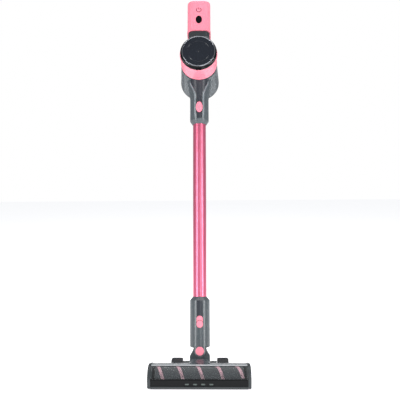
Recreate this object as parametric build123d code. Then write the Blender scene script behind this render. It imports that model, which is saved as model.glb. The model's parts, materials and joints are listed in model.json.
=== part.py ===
from build123d import *
import os
from math import cos, radians, sin

# Cordless stick vacuum, millimetres. The origin is on the floor, under the middle of the glide strip of the
# floor head. +X is to the right of someone who faces the front of the vacuum, -Y is its front, +Z is up.
# The wand leans back over the floor head. Its pieces are drawn upright in the wand frame, whose origin is the
# pitch pivot, and the motor pieces in the barrel frame, whose +Z runs along the barrel to its front.

# ---------------------------------------------------------------- driving sizes
LEAN = 15.0  # wand, back from the vertical
TILT = 3.0  # motor barrel, up from square to the wand

# floor head
HEAD_W = 234.0
CAP_T = 7.2
ROLLER_R = 21.0
CORE_R = 13.0
ROLLER_HALF = 100.5
ROLLER_GAP = 3.0  # plush to hood
HOOD_T = 2.2
ROLLER_Y = -31.0
FLOOR_GAP = 0.3  # plush and wheels over the floor
BUMPER_T = 3.4
BUMPER_H = 22.0
BUMPER_Z = 3.2
LIP_H = 5.0
SOLE_Z = 2.0
SOLE_T = 2.4
STRIP_W = 8.0
STRIP_HALF = 95.0
REAR_Y = 18.0
REAR_H = 31.0
HUB_HALF = 25.4
HUB_TOP = 45.0
HUB_CORNER = 12.0
HUB_T = 2.0
WALL = 2.2
LED_PITCH = 18.2
LED_COUNT = 4
BRUSH_MOTOR_R = 9.5
BRUSH_MOTOR_L = 46.0
MOTOR_Y = 7.0
MOTOR_Z = 15.0
PINION_R = 4.5
PULLEY_R = 9.0
BELT_T = 1.4
BELT_W = 4.0
SHAFT_R = 2.5

# pitch pivot, wheels and elbow
PIVOT_Y = 37.0
WHEEL_R = 17.5
WHEEL_IN = 41.5
WHEEL_W = 28.0
TYRE_T = 3.0
AXLE_R = 3.0
HINGE_PIN_R = 3.5
ARM_R = 10.5
YOKE_HALF = 24.4
YOKE_BARREL_R = 15.0
YOKE_NECK_R = 16.25
YOKE_DEPTH = 13.0
YOKE_SHOULDER = 23.0
STEER_Z = 35.6
STEER_PIN_R = 4.0
PIVOT_CAP_R = 10.2
AIR_R = 10.5
SWEEP_R = 38.5  # clear round the pitch pivot

# wand
TUBE_R = 17.0
TUBE_WALL = 1.2
TUBE_VISIBLE = 449.0
TUBE_SEAT = 45.0
CONNECTOR_R = 24.8
CONNECTOR_BOTTOM = 42.6
CONNECTOR_TOP = 163.3
SHOULDER_H = 8.8
SHOULDER_IN = 7.6
PILL_W = 15.6
PILL_H = 28.0
PILL_Z = 104.2
STRIP_FACE_W = 13.8
RAIL_W = 8.0
RAIL_H = 3.0

# handheld: neck and barrel
NECK_R = 24.8
NECK_BEVEL = 4.2
NECK_FLARE_Z = 684.0
NECK_TOP_W = 68.0
OVAL_W = 17.5
OVAL_H = 29.0
OVAL_Z = 655.0
INLAY_W = 14.0
INLAY_DEPTH = 1.2
INLAY_T = 1.6
FLARE = [(0, 687), (2.7, 698), (10.5, 712), (15.4, 730), (18.0, 739)]  # inlay: extra half width, height
AXIS_Z = 775.3
RIM_R = 47.4
BARREL_R = 46.6
BEAD_R = 48.9
RIM_Z = 84.0
RIM_T = 6.5
BARREL_FRONT = 77.0
BARREL_BACK = 28.0
BARREL_WALL = 2.2
PLATE_T = 6.0
CUP_R = 48.0
CUP_END_R = 54.6
CUP_FRONT = 21.4
CUP_BACK = -78.0
CUP_WALL = 2.2
LID_T = 7.0
TRIM_R = 42.0
TRIM_PROUD = 6.0
MOTOR_R = 34.0
MOTOR_BACK = 34.0
MOTOR_FRONT = 58.0
FAN_R = 30.0
FILTER_R = 41.0
MESH_R = 31.0
MESH_BACK = -38.0

# handheld: handle and battery
FRAME_HALF = 19.0
HEAD_HALF = 31.2
HEAD_CORNER = 17.0
HEAD_CROWN = 5.0
SHELL = 2.2
LOOP_BACK = -92.0
BATTERY_L = 44.0
BATTERY_HALF = 27.0
BATTERY_BOTTOM = 72.0
BATTERY_TOP = 142.0
JACK_R = 2.8
JACK_DEPTH = 9.0
POWER_W = 16.0
POWER_H = 23.0

# clearances
FIT = 0.05  # radial, shaft in hole
SLIDE = 0.3  # faces that pass each other
PLAY = 0.6  # side play between ears
GAP = 0.5  # casing to casing

PRESS = 2.4  # travel of the push buttons

# ---------------------------------------------------------------- derived places
HALF_W = HEAD_W / 2
CAP_IN = HALF_W - CAP_T
ROLLER_Z = ROLLER_R + FLOOR_GAP
HOOD_IN = ROLLER_R + ROLLER_GAP
HOOD_OUT = HOOD_IN + HOOD_T
FRONT_Y = ROLLER_Y - HOOD_OUT - 0.8
PIVOT_Z = WHEEL_R + FLOOR_GAP
TUBE_BOTTOM = CONNECTOR_TOP - TUBE_SEAT
NECK_BOTTOM = CONNECTOR_TOP + TUBE_VISIBLE
TUBE_TOP = NECK_BOTTOM + TUBE_SEAT
NECK_TOP_Z = AXIS_Z - 28
CUP_SLOPE = (CUP_END_R - CUP_R) / (CUP_FRONT - CUP_BACK)

WAND = Location((0, PIVOT_Y, PIVOT_Z), (-LEAN, 0, 0))
BARREL = WAND * Location((0, 0, AXIS_Z), (90 - TILT, 0, 0))
ALONG_X = Location((0, 0, 0), (0, 90, 0))
ALONG_Y = Location((0, 0, 0), (90, 0, 0))


# ---------------------------------------------------------------- shape helpers
def turned(*profile):
    """A solid of revolution about Z from (radius, height) corners."""
    outline = Polyline(*[(r, 0, z) for r, z in profile], close=True)
    return revolve(make_face(outline), Axis.Z)


def drum(radius, low, high, bore=0.0):
    """A cylinder about Z between two heights, with an optional bore."""
    body = Pos(0, 0, (low + high) / 2) * Cylinder(radius, high - low)
    if bore > 0:
        body -= Pos(0, 0, (low + high) / 2) * Cylinder(bore, high - low + 2)
    return body


def block(x, y, z):
    """A box from three (low, high) pairs."""
    sides = [high - low for low, high in (x, y, z)]
    middle = [(low + high) / 2 for low, high in (x, y, z)]
    return Pos(*middle) * Box(*sides)


def across(section, low, high):
    """A sketch of (y, z) corners or a YZ face, extruded along X from low to high."""
    face = section if isinstance(section, (Sketch, Face)) else make_face(Polyline(*section, close=True))
    placed = Plane(origin=(low, 0, 0), x_dir=(0, 1, 0), z_dir=(1, 0, 0)) * face
    return extrude(placed, high - low)


def facing(section, front, back):
    """A face drawn in (x, z), extruded along +Y from front to back."""
    placed = Plane(origin=(0, front, 0), x_dir=(1, 0, 0), z_dir=(0, -1, 0)) * section
    return extrude(placed, front - back)


def on_x(radius, y, z, low, high):
    """A cylinder along X."""
    return Pos((low + high) / 2, y, z) * ALONG_X * Cylinder(radius, high - low)


def on_y(radius, x, z, low, high):
    """A cylinder along Y."""
    return Pos(x, (low + high) / 2, z) * ALONG_Y * Cylinder(radius, high - low)


def softened(body, radius, edges):
    """Rounds the edges that were asked for."""
    return fillet(edges, radius) if len(edges) else body


def mirrored(body):
    return mirror(body, Plane.YZ)


PARTS = {}


def keep(name, shape, place=None):
    PARTS[name] = place * shape if place else shape


# ---------------------------------------------------------------- floor head: brush roller and its drive
def roller_ring(radius, low, high, bore=0.0):
    """A ring about the roller's axis between two x places."""
    ring = on_x(radius, ROLLER_Y, ROLLER_Z, low, high)
    if bore > 0:
        ring -= on_x(bore, ROLLER_Y, ROLLER_Z, low - 1, high + 1)
    return ring


def hood_arc(start, end, low, high):
    """Part of the hood's wall, from one angle to another, measured up from the front of the roller."""
    wall = roller_ring(HOOD_OUT, low, high, HOOD_IN)
    reach = 2 * HOOD_OUT
    steps = [start + (end - start) * i / 4 for i in range(5)]
    fan = [(ROLLER_Y - reach * cos(radians(a)), ROLLER_Z + reach * sin(radians(a))) for a in steps]
    return wall & across([(ROLLER_Y, ROLLER_Z), *fan], low, high)


ARC_WINDOW = (9.8, 109.0)
ARC_COVER = (109.4, 149.5)
ARC_WALL = (150.0, 232.0)
HOOD_HALF = CAP_IN - 0.4
PLATE_IN = HOOD_HALF - 2.4
PULLEY_IN = ROLLER_HALF + 0.9
PULLEY_OUT = PULLEY_IN + BELT_W + 0.8
DUCT_HALF = 20.0

core = roller_ring(CORE_R, -ROLLER_HALF, ROLLER_HALF, CORE_R - 2.5)
for side in (-1, 1):
    disc = sorted((side * ROLLER_HALF, side * (ROLLER_HALF - 4)))
    core += roller_ring(CORE_R - 1, *disc)
core += roller_ring(SHAFT_R, -HOOD_HALF, HOOD_HALF)
core += roller_ring(PULLEY_R, PULLEY_IN, PULLEY_OUT)
keep("roller_core", core)
keep("roller_plush", roller_ring(ROLLER_R, -ROLLER_HALF, ROLLER_HALF, CORE_R))

MOTOR_IN = 38.0
keep("brush_motor", on_x(BRUSH_MOTOR_R, MOTOR_Y, MOTOR_Z, MOTOR_IN, MOTOR_IN + BRUSH_MOTOR_L)
     - on_x(2.0 + FIT, MOTOR_Y, MOTOR_Z, MOTOR_IN + BRUSH_MOTOR_L - 8, MOTOR_IN + BRUSH_MOTOR_L + 1))
keep("motor_pinion", on_x(2.0, MOTOR_Y, MOTOR_Z, MOTOR_IN + BRUSH_MOTOR_L - 7, PULLEY_IN)
     + on_x(PINION_R, MOTOR_Y, MOTOR_Z, PULLEY_IN, PULLEY_OUT))


def belt_line(extra):
    """The outline of the belt, a distance outside the pulley and the pinion."""
    pulley = Pos(ROLLER_Y, ROLLER_Z) * Circle(PULLEY_R + extra)
    pinion = Pos(MOTOR_Y, MOTOR_Z) * Circle(PINION_R + extra)
    return make_hull([*pulley.edges(), *pinion.edges()])


belt = belt_line(SLIDE + BELT_T) - belt_line(SLIDE)
keep("drive_belt", across(belt, PULLEY_IN + 0.4, PULLEY_IN + 0.4 + BELT_W))

# ---------------------------------------------------------------- floor head: casing
pivot_clear = on_x(SWEEP_R, PIVOT_Y, PIVOT_Z, -31, 31) & block((-31, 31), (-20, 80), (PIVOT_Z + 20.5, 90))

base = hood_arc(*ARC_WALL, -HOOD_HALF, HOOD_HALF)
base += block((-HOOD_HALF, HOOD_HALF), (ROLLER_Y + 15.5, REAR_Y), (SOLE_Z, SOLE_Z + SOLE_T))
base += block((-HOOD_HALF, HOOD_HALF), (REAR_Y - WALL, REAR_Y), (SOLE_Z, REAR_H - 7.2))
base -= roller_ring(HOOD_IN, -HOOD_HALF - 1, HOOD_HALF + 1)
sill = block((-HOOD_HALF, HOOD_HALF), (FRONT_Y + 0.6, FRONT_Y + 8), (BUMPER_Z, BUMPER_Z + LIP_H))
base += sill - roller_ring(HOOD_IN, -HOOD_HALF - 1, HOOD_HALF + 1)
for side in (-1, 1):
    plate = sorted((side * PLATE_IN, side * HOOD_HALF))
    base += roller_ring(HOOD_IN - 0.1, *plate) & block(plate, (-80, 40), (SOLE_Z, 80))
    base += roller_ring(HOOD_OUT, *plate) & block(plate, (ROLLER_Y + 6, REAR_Y), (SOLE_Z, ROLLER_Z + 11))
    base += block(plate, (FRONT_Y + 0.6, ROLLER_Y), (BUMPER_Z, BUMPER_Z + LIP_H))
    base += block(plate, (ROLLER_Y + 15, REAR_Y), (SOLE_Z, REAR_H - 7.2))
    wall = sorted((side * DUCT_HALF, side * (DUCT_HALF + WALL)))
    base += block(wall, (ROLLER_Y + HOOD_IN + 1, REAR_Y - 1), (SOLE_Z + 1, REAR_H - 8))
    arm = sorted((side * (YOKE_HALF + PLAY), side * (WHEEL_IN - 1)))
    base += on_x(ARM_R, PIVOT_Y, PIVOT_Z, *arm)
    base += block(arm, (REAR_Y - 1, PIVOT_Y), (PIVOT_Z - 8, REAR_H - 7.3))
for rib in (MOTOR_IN + 6, MOTOR_IN + BRUSH_MOTOR_L - 6):
    base += block((rib - 1.5, rib + 1.5), (ROLLER_Y + HOOD_IN + 1, REAR_Y - 1), (SOLE_Z + 1, MOTOR_Z))
base -= roller_ring(SHAFT_R + FIT, -HALF_W, HALF_W)
base -= block((-DUCT_HALF, DUCT_HALF), (ROLLER_Y + 10, REAR_Y + 1), (SOLE_Z + SOLE_T + 2, 30))
base -= on_x(BRUSH_MOTOR_R, MOTOR_Y, MOTOR_Z, MOTOR_IN, MOTOR_IN + BRUSH_MOTOR_L)
base -= across(belt_line(SLIDE + BELT_T + 1), PULLEY_IN - 1, PLATE_IN)
base -= on_x(HINGE_PIN_R, PIVOT_Y, PIVOT_Z, -WHEEL_IN, WHEEL_IN)
GROOVE_XS = [YOKE_HALF + PLAY + 3 + 3.6 * i for i in range(4)]
for x in GROOVE_XS:
    for side in (-1, 1):
        ring = on_x(ARM_R + 1, PIVOT_Y, PIVOT_Z, side * x - 0.8, side * x + 0.8)
        ring -= on_x(ARM_R - 0.9, PIVOT_Y, PIVOT_Z, side * x - 2, side * x + 2)
        base -= ring & block((-50, 50), (PIVOT_Y - 5, PIVOT_Y + 20), (0, 60))
SCREW_XS = [-92, -55, -28, 28, 92]
SCREW_Y = 12.0
SCREW_R = 2.6
screws = None
for x in SCREW_XS:
    base -= Pos(x, SCREW_Y, 0) * drum(SCREW_R + 0.2, SOLE_Z - 1, SOLE_Z + 1.6)
    head = Pos(x, SCREW_Y, 0) * drum(SCREW_R, SOLE_Z + 0.3, SOLE_Z + 1.6)
    head -= Pos(x, SCREW_Y, SOLE_Z + 0.3) * Box(3.4, 0.7, 0.9)
    screws = head if screws is None else screws + head
keep("head_base", base)
keep("head_screws", screws)

roof = [(-20.6, 44.6), (-4, 41.0), (11, 35.0), (REAR_Y, 28.0), (REAR_Y, REAR_H - 7.0),
        (REAR_Y - WALL, REAR_H - 7.0), (REAR_Y - WALL, 27.0), (9.8, 32.9), (-5, 38.7), (-19.2, 43.2)]
cover = hood_arc(*ARC_COVER, -HOOD_HALF, HOOD_HALF) + across(roof, -HOOD_HALF, HOOD_HALF)


def hub_face(inset):
    """The front outline of the raised hub over the elbow."""
    wide, tall = 2 * (HUB_HALF - inset), HUB_TOP - inset
    return Pos(0, tall / 2) * RectangleRounded(wide, tall, HUB_CORNER - inset)


cover -= facing(hub_face(HUB_T), -17, 30) & block((-40, 40), (-17, 30), (24, 60))
under_roof = across([(-30, -5), *[(y, z - 1.0) for y, z in roof[:4]], (REAR_Y, -5)], -40, 40)
hub = facing(hub_face(0), -18, 15) - facing(hub_face(HUB_T), -16, 30) - under_roof
cover += hub - roller_ring(HOOD_OUT - 0.5, -60, 60)
cover -= pivot_clear
keep("head_cover", cover)

window = hood_arc(*ARC_WINDOW, -HOOD_HALF, HOOD_HALF)
keep("roller_window", window)

BUMPER_TOP = BUMPER_Z + BUMPER_H
bumper = block((-HOOD_HALF, HOOD_HALF), (FRONT_Y, FRONT_Y + 8), (BUMPER_Z + LIP_H + 0.4, BUMPER_TOP))
bumper = softened(bumper, 1.8, bumper.edges().filter_by(Axis.X).group_by(Axis.Y)[0])
bumper -= roller_ring(HOOD_IN, -HALF_W, HALF_W)
bumper -= hood_arc(ARC_WINDOW[0] - 0.6, 60, -HALF_W, HALF_W)
LED_Z = 14.4
led_xs = [(i - (LED_COUNT - 1) / 2) * LED_PITCH for i in range(LED_COUNT)]
led_bay = RectangleRounded(LED_PITCH * LED_COUNT - 2, 7.0, 3.0)
bumper -= facing(Pos(0, LED_Z) * led_bay, FRONT_Y - 1, FRONT_Y + 0.7)
lenses = None
for x in led_xs:
    bumper -= facing(Pos(x, LED_Z) * RectangleRounded(9.0, 3.6, 1.6), FRONT_Y - 1, FRONT_Y + 2.0)
    lens = facing(Pos(x, LED_Z) * RectangleRounded(8.8, 3.4, 1.5), FRONT_Y + 0.3, FRONT_Y + 1.9)
    lenses = lens if lenses is None else lenses + lens
keep("front_bumper", bumper)
keep("led_lenses", lenses)

cap_outline = Polyline(
    (FRONT_Y, 5), (FRONT_Y, 26), (FRONT_Y + 7, 40), (ROLLER_Y - 8, ROLLER_Z + HOOD_OUT + 0.6),
    (ROLLER_Y + 9, ROLLER_Z + HOOD_OUT + 0.2), (11, 36), (REAR_Y + 0.4, 28), (REAR_Y + 0.4, 3),
    (FRONT_Y + 2, 3), close=True)
cap_face = fillet(make_face(cap_outline).vertices(), 1.9)
end_cap = across(cap_face, CAP_IN, HALF_W)
end_cap = softened(end_cap, 2.6, end_cap.faces().sort_by(Axis.X)[-1].edges())
keep("end_cap_right", end_cap)
keep("end_cap_left", mirrored(end_cap))

keep("glide_strip", block((-STRIP_HALF, STRIP_HALF), (-STRIP_W / 2, STRIP_W / 2), (0, SOLE_Z)))

# ---------------------------------------------------------------- floor head: wheels and pivot axles
WHEEL_OUT = WHEEL_IN + WHEEL_W
axle = on_x(HINGE_PIN_R, PIVOT_Y, PIVOT_Z, YOKE_HALF - 4.4, WHEEL_IN - 1)
axle += on_x(AXLE_R, PIVOT_Y, PIVOT_Z, WHEEL_IN - 1, WHEEL_OUT + 1.6)
axle += on_x(AXLE_R + 2, PIVOT_Y, PIVOT_Z, WHEEL_OUT + 0.3, WHEEL_OUT + 1.6)
keep("pivot_axles", axle + mirrored(axle))

RIM_OUT = WHEEL_R - TYRE_T
rim = on_x(RIM_OUT, PIVOT_Y, PIVOT_Z, WHEEL_IN, WHEEL_OUT)
rim -= on_x(AXLE_R + FIT, PIVOT_Y, PIVOT_Z, WHEEL_IN - 1, WHEEL_OUT + 1)
dish = on_x(RIM_OUT - 2.4, PIVOT_Y, PIVOT_Z, WHEEL_OUT - 4, WHEEL_OUT + 1)
dish += on_x(RIM_OUT + 1, PIVOT_Y, PIVOT_Z, WHEEL_OUT - 1.5, WHEEL_OUT + 1)
rim -= dish - on_x(AXLE_R + 2.4, PIVOT_Y, PIVOT_Z, 0, WHEEL_OUT + 2)
tyre = on_x(WHEEL_R, PIVOT_Y, PIVOT_Z, WHEEL_IN, WHEEL_OUT)
tyre = softened(tyre, 2.4, tyre.edges().filter_by(GeomType.CIRCLE).group_by(Axis.X)[0])
tyre = softened(tyre, 5.0, tyre.edges().filter_by(GeomType.CIRCLE).group_by(Axis.X)[-1])
tyre -= on_x(RIM_OUT, PIVOT_Y, PIVOT_Z, WHEEL_IN - 1, WHEEL_OUT + 1)
keep("wheel_right", rim)
keep("wheel_left", mirrored(rim))
keep("tyre_right", tyre)
keep("tyre_left", mirrored(tyre))

# ---------------------------------------------------------------- elbow
shoulder = Polyline((-YOKE_NECK_R, STEER_Z + 1), (-YOKE_HALF, YOKE_SHOULDER), (-YOKE_HALF, 0), (YOKE_HALF, 0),
                    (YOKE_HALF, YOKE_SHOULDER), (YOKE_NECK_R, STEER_Z + 1), close=True)
yoke = facing(make_face(shoulder), -YOKE_DEPTH, YOKE_DEPTH)
yoke += on_y(YOKE_NECK_R, 0, STEER_Z, -YOKE_DEPTH, YOKE_DEPTH)
yoke += on_x(YOKE_BARREL_R, 0, 0, -YOKE_HALF, YOKE_HALF)
yoke -= drum(AIR_R, -6, STEER_Z + YOKE_NECK_R + 1)
yoke -= block((-DUCT_HALF + 4, DUCT_HALF - 4), (-YOKE_BARREL_R - 1, 0), (-9, 9))
yoke -= on_x(HINGE_PIN_R + FIT, 0, 0, -YOKE_HALF - 1, YOKE_HALF + 1)
yoke -= on_y(STEER_PIN_R + FIT, 0, STEER_Z, -YOKE_DEPTH - 1, YOKE_DEPTH + 1)
keep("elbow_yoke", yoke, WAND)

CAP_SEAT = CONNECTOR_R - 1.4
pin = on_y(STEER_PIN_R, 0, STEER_Z, AIR_R - 1.2, CAP_SEAT)
pin += on_y(STEER_PIN_R, 0, STEER_Z, -CAP_SEAT, 1.2 - AIR_R)
keep("steer_pins", pin, WAND)
button = on_y(PIVOT_CAP_R, 0, STEER_Z, -CONNECTOR_R - 1.6, -CAP_SEAT)
button = softened(button, 1.4, button.edges().group_by(Axis.Y)[0])
keep("pivot_cap_front", button, WAND)
back_button = mirror(button, Plane.XZ)
keep("pivot_cap_back", back_button, WAND)

# ---------------------------------------------------------------- lower connector
SHOULDER_Z = CONNECTOR_TOP - SHOULDER_H
connector = drum(CONNECTOR_R, CONNECTOR_BOTTOM, SHOULDER_Z)
connector = softened(connector, 3.6, connector.edges().group_by(Axis.Z)[0])
TOP_R = CONNECTOR_R - SHOULDER_IN
connector += turned((0, SHOULDER_Z), (CONNECTOR_R, SHOULDER_Z), (TOP_R + 1, CONNECTOR_TOP - 1.2),
                    (TOP_R, CONNECTOR_TOP), (0, CONNECTOR_TOP))
TONGUE_R = 13.0
FORK_HALF = YOKE_DEPTH + SLIDE
tongue = on_y(TONGUE_R, 0, STEER_Z, -CONNECTOR_R, CONNECTOR_R) + block(
    (-TONGUE_R, TONGUE_R), (-CONNECTOR_R, CONNECTOR_R), (STEER_Z, CONNECTOR_BOTTOM + 6))
connector += tongue & drum(CONNECTOR_R, 0, SHOULDER_Z)
connector -= on_y(YOKE_NECK_R + 1.55, 0, STEER_Z, -FORK_HALF, FORK_HALF)
connector -= block((-40, 40), (-FORK_HALF - 0.7, FORK_HALF + 0.7), (-10, CONNECTOR_BOTTOM))
connector -= drum(AIR_R + 3.5, STEER_Z + 10, TUBE_BOTTOM)
connector -= drum(TUBE_R + 0.06, TUBE_BOTTOM, CONNECTOR_TOP + 1)
connector -= on_y(STEER_PIN_R, 0, STEER_Z, -CONNECTOR_R, CONNECTOR_R)
for side in (-1, 1):
    seat = sorted((side * CAP_SEAT, side * (CONNECTOR_R + 3)))
    connector -= on_y(PIVOT_CAP_R + 0.2, 0, STEER_Z, *seat)


def pressed(outline, z, proud, back):
    """A push button in a round casing: a prism of this outline with a front that follows the casing."""
    prism = facing(Pos(0, z) * outline, -CONNECTOR_R - 6, -back)
    return prism & drum(CONNECTOR_R + proud, z - 40, z + 40)


BUTTON_BACK = 21.4
pill_shape = SlotOverall(PILL_H, PILL_W, rotation=90)
pill = pressed(pill_shape, PILL_Z, 1.0, BUTTON_BACK)
pill_bay = facing(Pos(0, PILL_Z) * offset(pill_shape, SLIDE), -CONNECTOR_R - 6, PRESS + SLIDE - BUTTON_BACK)
connector -= pill_bay
STRIP_TOP = SHOULDER_Z - 1.5
STRIP_H = STRIP_TOP - PILL_Z
strip_at = Pos(0, (STRIP_TOP + PILL_Z) / 2)
strip_face = strip_at * RectangleRounded(STRIP_FACE_W, STRIP_H, 2)
strip_clear = strip_at * RectangleRounded(STRIP_FACE_W + 0.4, STRIP_H + 0.4, 2.2)
strip = facing(strip_face, -CONNECTOR_R - 2, -15) & drum(CONNECTOR_R - 0.7, 60, 170, CONNECTOR_R - 2.2)
connector -= facing(strip_clear, -CONNECTOR_R - 2, -15) - drum(CONNECTOR_R - 2.2, 60, 170)
keep("lower_connector", connector, WAND)
keep("connector_strip", strip - pill_bay, WAND)
keep("connector_button", pill, WAND)

# ---------------------------------------------------------------- wand tube
tube = drum(TUBE_R, TUBE_BOTTOM, TUBE_TOP, TUBE_R - TUBE_WALL)
for z in (CONNECTOR_TOP + 6.0, CONNECTOR_TOP + 11.0):
    tube -= drum(TUBE_R + 1, z, z + 0.6, TUBE_R - 0.3)
keep("wand_tube", tube, WAND)
BORE = TUBE_R - TUBE_WALL
duct = block((-RAIL_W / 2, RAIL_W / 2), (BORE - RAIL_H - 1, BORE + 2), (TUBE_BOTTOM + 2, TUBE_TOP - 2))
keep("wire_duct", duct & drum(BORE, TUBE_BOTTOM, TUBE_TOP), WAND)

# ---------------------------------------------------------------- neck and barrel frame
CHAMBER = Location((0, 0, AXIS_Z), (90 - TILT, 0, 0))  # barrel frame inside the wand frame


def cup_radius(z):
    """Outer radius of the dust cup at a place along the barrel."""
    return CUP_R + (CUP_FRONT - z) * CUP_SLOPE


def cup_envelope(extra, front=CUP_FRONT, back=CUP_BACK):
    """The cup's outer shape, a distance larger all round."""
    return turned((0, front), (cup_radius(front) + extra, front), (cup_radius(back) + extra, back), (0, back))


def neck_body(inset):
    """The neck's outer shape, a distance inside its skin, from the tube's collar to inside the barrel."""
    r = NECK_R - inset
    low = NECK_BOTTOM + inset
    return turned((0, low), (r - 7.0, low), (r - 0.6, low + 9.4), (r, low + 11.0), (r, NECK_FLARE_Z),
                  (NECK_TOP_W / 2 - inset, NECK_TOP_Z), (0, NECK_TOP_Z))


INLAY_LOW = NECK_BOTTOM + 12.0


def inlay_face(grow):
    """The front panel of the neck: a straight tongue that flares where it meets the barrel."""
    half, low = INLAY_W / 2 + grow, INLAY_LOW - grow
    right = [(half, low), *[(half + wider, z) for wider, z in FLARE]]
    left = [(-x, z) for x, z in reversed(right)]
    face = make_face(Polyline(*right, *left, close=True))
    lower = face.vertices().group_by(Axis.Y)[0]
    return fillet(lower, 4.0)


PLATE_BACK = CUP_FRONT + 0.6
PLATE_FRONT = PLATE_BACK + PLATE_T
BARREL_BACK_Z = PLATE_FRONT + 0.3
CUP_BARE = CHAMBER * cup_envelope(GAP, PLATE_BACK + 0.5)
AHEAD = CHAMBER * drum(90, PLATE_FRONT, 150)

neck_bore = drum(TUBE_R + 0.06, NECK_BOTTOM - 1, TUBE_TOP) + drum(16.0, TUBE_TOP - 1, AXIS_Z - 20)
plate = drum(BARREL_R, PLATE_BACK, PLATE_FRONT, 18.0)
plate += drum(CUP_R - CUP_WALL - 0.7, PLATE_BACK - 5.0, PLATE_BACK + 1, CUP_R - CUP_WALL - 4)
neck = neck_body(0)
neck -= facing(inlay_face(0.2), -60, 0) - neck_body(INLAY_DEPTH + INLAY_T + 0.1)
neck -= CUP_BARE
neck -= AHEAD
neck += CHAMBER * plate
neck -= neck_bore
oval_shape = Ellipse(OVAL_W / 2, OVAL_H / 2)
oval_clear = Pos(0, OVAL_Z) * Ellipse(OVAL_W / 2 + SLIDE, OVAL_H / 2 + SLIDE)
oval_bay = facing(oval_clear, -CONNECTOR_R - 6, PRESS + SLIDE - BUTTON_BACK)
neck -= oval_bay
keep("neck_housing", neck, WAND)

inlay = facing(inlay_face(0), -60, 0) & (neck_body(INLAY_DEPTH) - neck_body(INLAY_DEPTH + INLAY_T))
inlay = inlay - CUP_BARE - AHEAD - oval_bay - neck_bore
inlay -= CHAMBER * drum(BARREL_R + 0.1, PLATE_BACK - 0.4, PLATE_FRONT + 1)
keep("neck_inlay", inlay, WAND)
keep("release_button", pressed(oval_shape, OVAL_Z, 1.0, BUTTON_BACK), WAND)

# ---------------------------------------------------------------- barrel: motor, fan, filter
bore_r = BARREL_R - BARREL_WALL
housing = turned(
    (BARREL_R + 1.2, BARREL_BACK_Z), (BARREL_R + 1.6, BARREL_BACK_Z + 0.8),
    (BARREL_R + 1.6, BARREL_BACK_Z + 2.2), (BARREL_R + 0.8, BARREL_BACK_Z + 3.2),
    (BARREL_R - 0.4, BARREL_FRONT - 9.0), (BARREL_R + 0.4, BARREL_FRONT - 7.6),
    (BEAD_R, BARREL_FRONT - 5.4), (BEAD_R, BARREL_FRONT - 3.0), (BEAD_R - 2.0, BARREL_FRONT),
    (bore_r, BARREL_FRONT), (bore_r, BARREL_BACK_Z))
VENT_ANGLES = [38 + 9 * i for i in range(5)]
for side in (-1, 1):
    for angle in VENT_ANGLES:
        slot = Pos(0, BARREL_R, (BARREL_BACK_Z + BARREL_FRONT - 8) / 2) * Box(3.0, 12, 24)
        housing -= Rot(0, 0, side * angle) * slot
keep("motor_housing", housing, BARREL)

can = drum(MOTOR_R, BARREL_BACK_Z, MOTOR_BACK + 10, MOTOR_R - 2.2)
can += drum(MOTOR_R, MOTOR_BACK + 10, MOTOR_FRONT + 4)
can -= drum(3.0 + FIT, MOTOR_BACK + 9, MOTOR_FRONT - 4)
for angle in range(0, 360, 45):
    can -= Rot(0, 0, angle) * (Pos(MOTOR_R, 0, MOTOR_BACK + 18) * Box(6, 9, 12))
keep("motor", can, BARREL)
fan = drum(FAN_R, MOTOR_BACK - 3.0, MOTOR_BACK - 1.4, 13) + drum(6.5, MOTOR_BACK - 3.0, MOTOR_BACK + 7.0)
fan += drum(FAN_R, MOTOR_BACK + 5.4, MOTOR_BACK + 7.0) + drum(3.0, MOTOR_BACK + 6, MOTOR_FRONT - 5)
for i in range(9):
    fan += Rot(0, 0, 40 * i) * (Pos(18.5, 0, MOTOR_BACK + 2) * Rot(0, 0, 28) * Box(22, 1.4, 9.0))
keep("fan", fan & drum(FAN_R, 0, 90), BARREL)
FILTER_BACK = MOTOR_BACK + 6.0
FILTER_FRONT = RIM_Z - 20.0
pleats = drum(FILTER_R, FILTER_BACK, FILTER_FRONT, MOTOR_R + 0.6)
keep("exhaust_filter", pleats, BARREL)

# ---------------------------------------------------------------- barrel: exhaust cap
SKIRT_R = BARREL_R - BARREL_WALL - SLIDE
FACE_Z = RIM_Z + TRIM_PROUD - 2.6
cap = turned(
    (SKIRT_R - 2.2, FILTER_FRONT + 2), (SKIRT_R, FILTER_FRONT + 2), (SKIRT_R, RIM_Z - RIM_T),
    (RIM_R, RIM_Z - RIM_T), (RIM_R, RIM_Z - 1.8), (RIM_R - 0.6, RIM_Z - 0.5), (RIM_R - 2.0, RIM_Z),
    (TRIM_R + 1.6, RIM_Z + 1.6), (TRIM_R + 1.2, FACE_Z), (0, FACE_Z), (0, FACE_Z - 2.4),
    (SKIRT_R - 2.2, FACE_Z - 4.0))
thumb_tab = block((-7.5, 7.5), (-RIM_R - 1.2, -RIM_R + 3), (RIM_Z - 5.0, RIM_Z + 0.4))
cap += softened(thumb_tab, 0.8, thumb_tab.edges().filter_by(Axis.Z))
keep("exhaust_cap", cap, BARREL)
trim = drum(TRIM_R + 1.0, FACE_Z, RIM_Z + TRIM_PROUD, TRIM_R - 1.2)
trim = softened(trim, 0.8, trim.edges().group_by(Axis.Z)[-1])
keep("cap_trim_ring", trim, BARREL)
badge = turned((0, FACE_Z), (TRIM_R - 1.4, FACE_Z), (TRIM_R - 1.4, FACE_Z + 1.2), (29.6, FACE_Z + 0.9),
               (29.0, FACE_Z + 0.5), (28.4, FACE_Z + 0.9), (0, FACE_Z + 1.1))
keep("cap_disc", badge, BARREL)

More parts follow.
